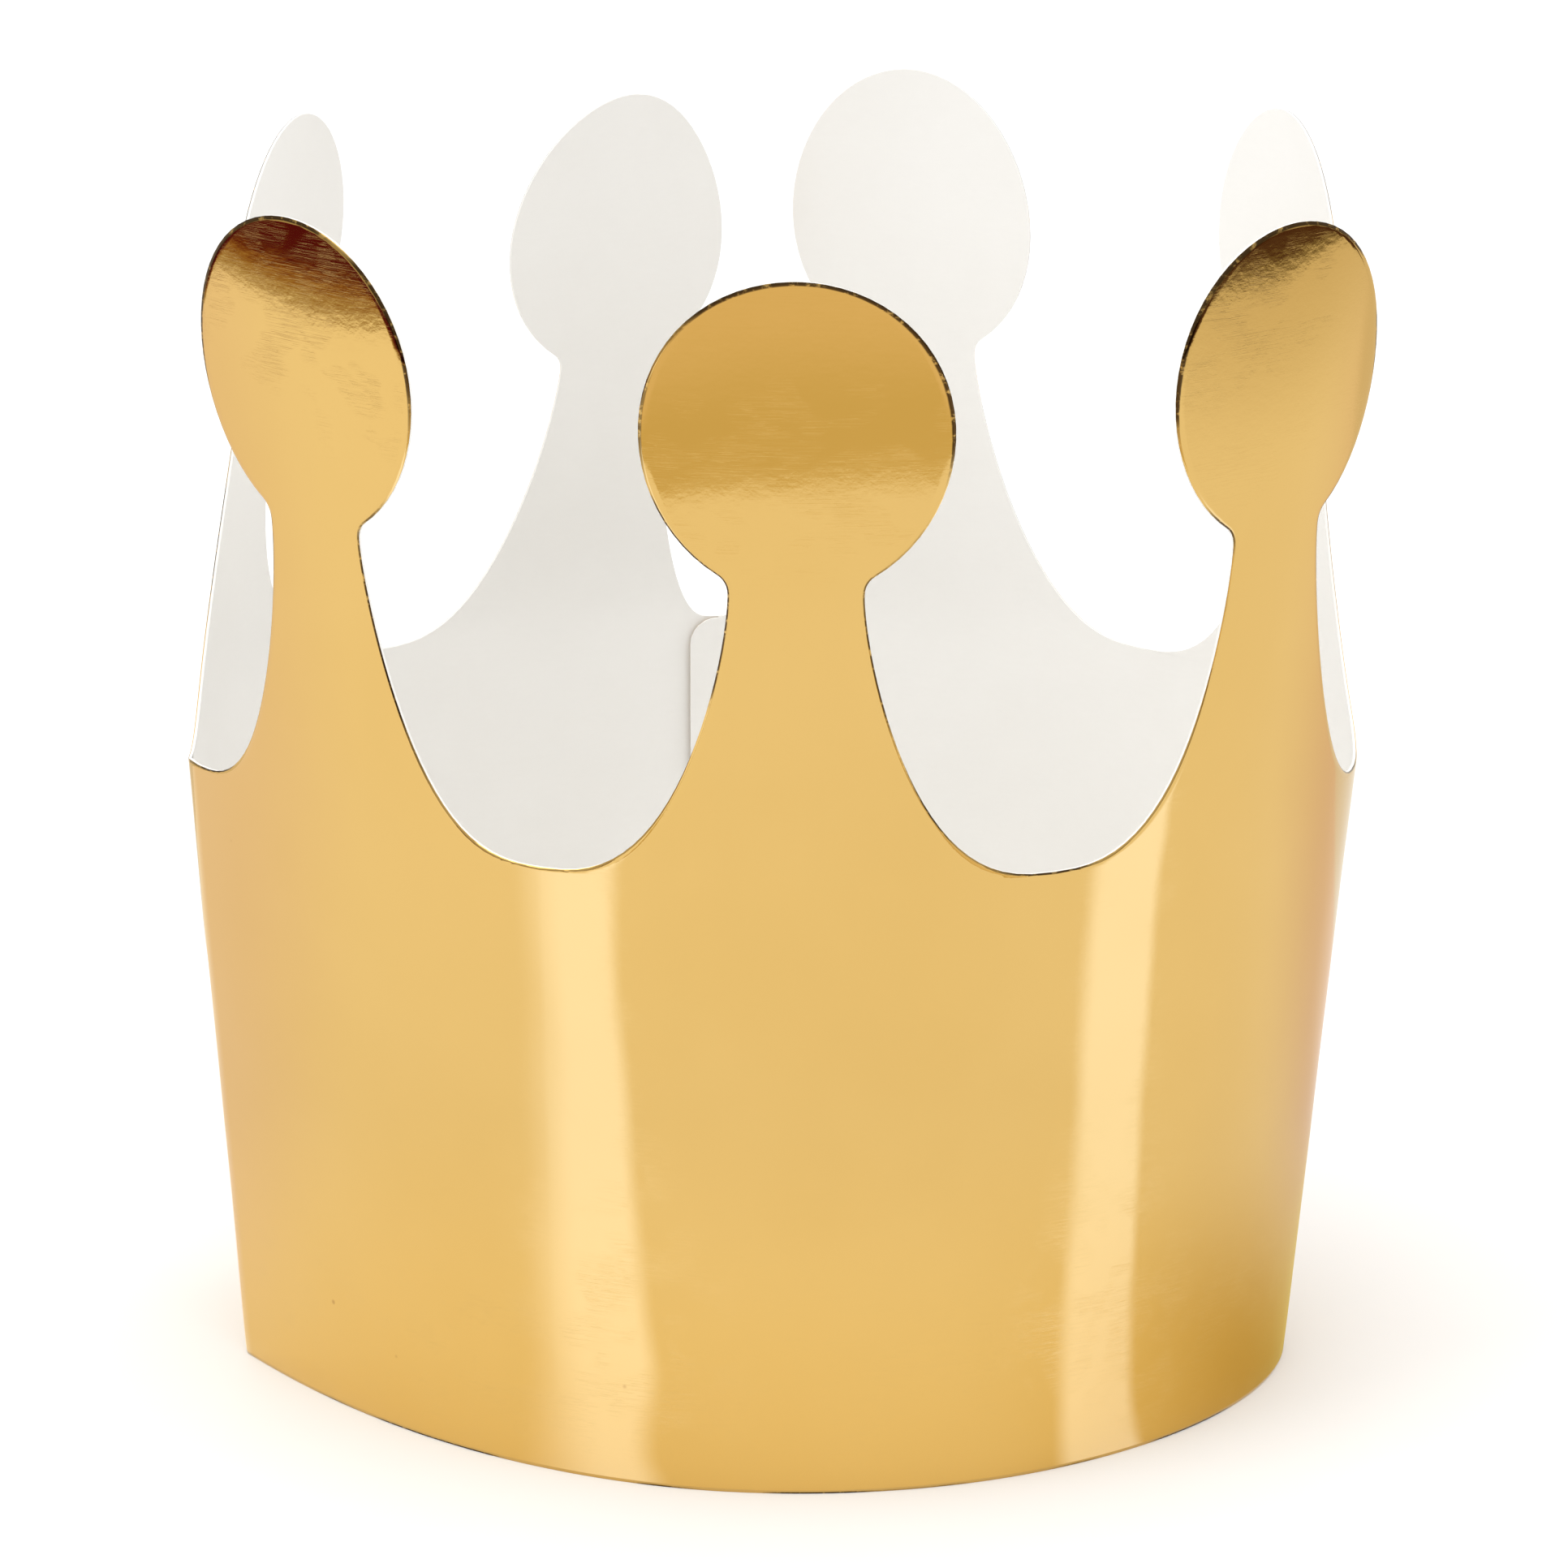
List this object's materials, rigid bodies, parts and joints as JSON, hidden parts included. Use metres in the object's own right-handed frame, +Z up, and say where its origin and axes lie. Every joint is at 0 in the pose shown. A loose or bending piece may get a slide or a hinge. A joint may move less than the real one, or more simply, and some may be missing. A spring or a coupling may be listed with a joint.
{
  "type": "crown-shaped party hat",
  "caption": "Open crown-shaped party hat: a flared loop of gold foil card with ball-topped points, white inside, glued at the back.",
  "frame": {"origin": "middle of the crown's footprint, on the surface that its bottom rim stands on", "axes": "+Z up, out through the points; -Y towards the front, where the middle point stands and the glued seam is opposite it; +X to the right as seen from the front"},
  "size_m": [0.1346, 0.1276, 0.1417],
  "materials": {
    "white_board": "uncoated warm white folding board with a soft matt face and a clean die-cut edge",
    "gold_foil": "mirror-bright gold metallised film, faintly rippled, with fine scratches and dust",
    "seam_tape": "thin double-sided adhesive tape on a pinkish carrier"
  },
  "bodies": {
    "root": {"crown_board": "white_board", "gold_foil": "gold_foil", "seam_tape": "seam_tape"}
  },
  "joints": []
}
